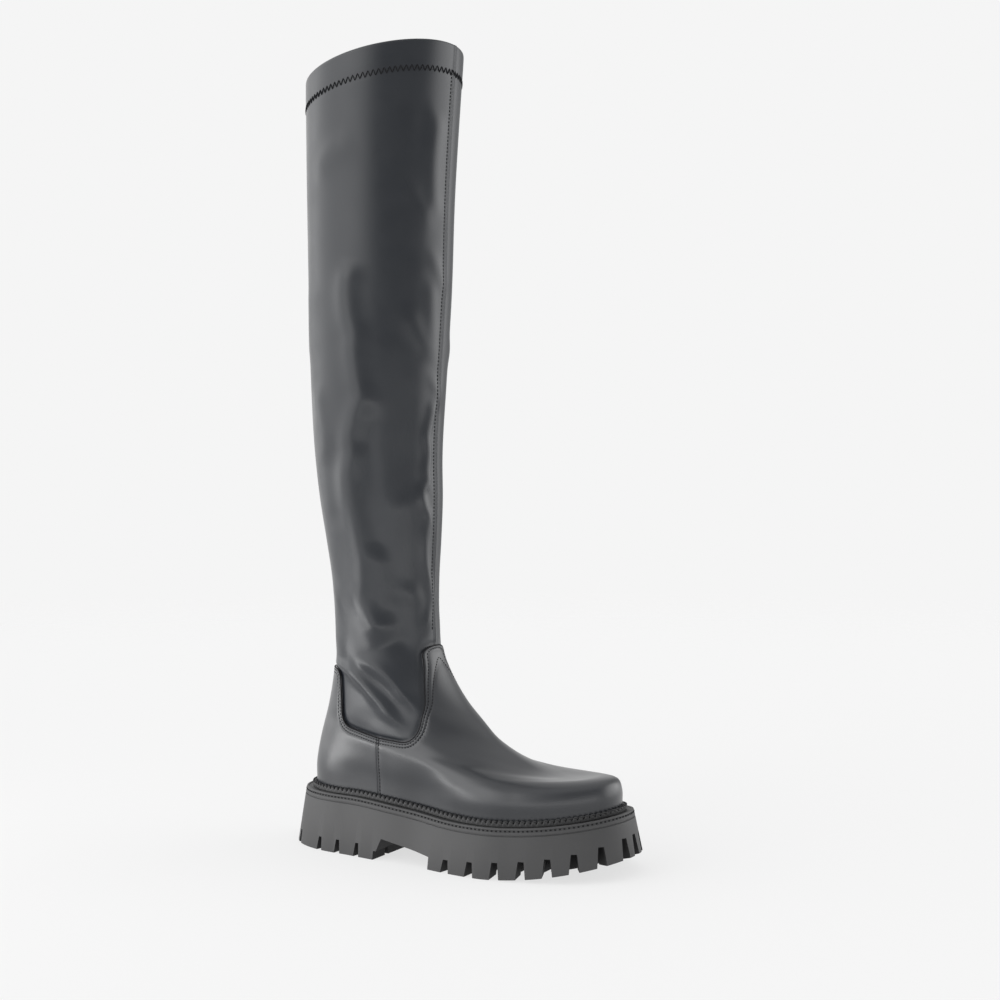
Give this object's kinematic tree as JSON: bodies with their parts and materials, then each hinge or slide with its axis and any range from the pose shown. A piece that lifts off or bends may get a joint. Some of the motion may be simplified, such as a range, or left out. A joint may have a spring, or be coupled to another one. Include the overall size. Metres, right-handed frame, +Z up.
{
  "type": "tall boot",
  "caption": "Tall pull-on boot for the right foot: slim stretch shaft with a slanted collar, smooth vamp and heel counter, and a welted platform sole with edge lugs, heel breast and toe spring.",
  "frame": {"origin": "on the floor, under the middle of the whole boot's box", "axes": "+X towards the toe, +Y towards the inner side of the foot, +Z up towards the collar"},
  "size_m": [0.2856, 0.1196, 0.6158],
  "materials": {
    "sole_rubber": "matte moulded",
    "welt_rubber": "satin",
    "smooth_leather": "smooth, soft sheen",
    "stretch_leather": "soft, creased",
    "sock_lining": "matte"
  },
  "bodies": {
    "root": {"outsole": "sole_rubber", "welt": "welt_rubber", "insole": "sock_lining", "upper": "stretch_leather", "vamp": "smooth_leather", "heel_counter": "smooth_leather"}
  },
  "joints": []
}
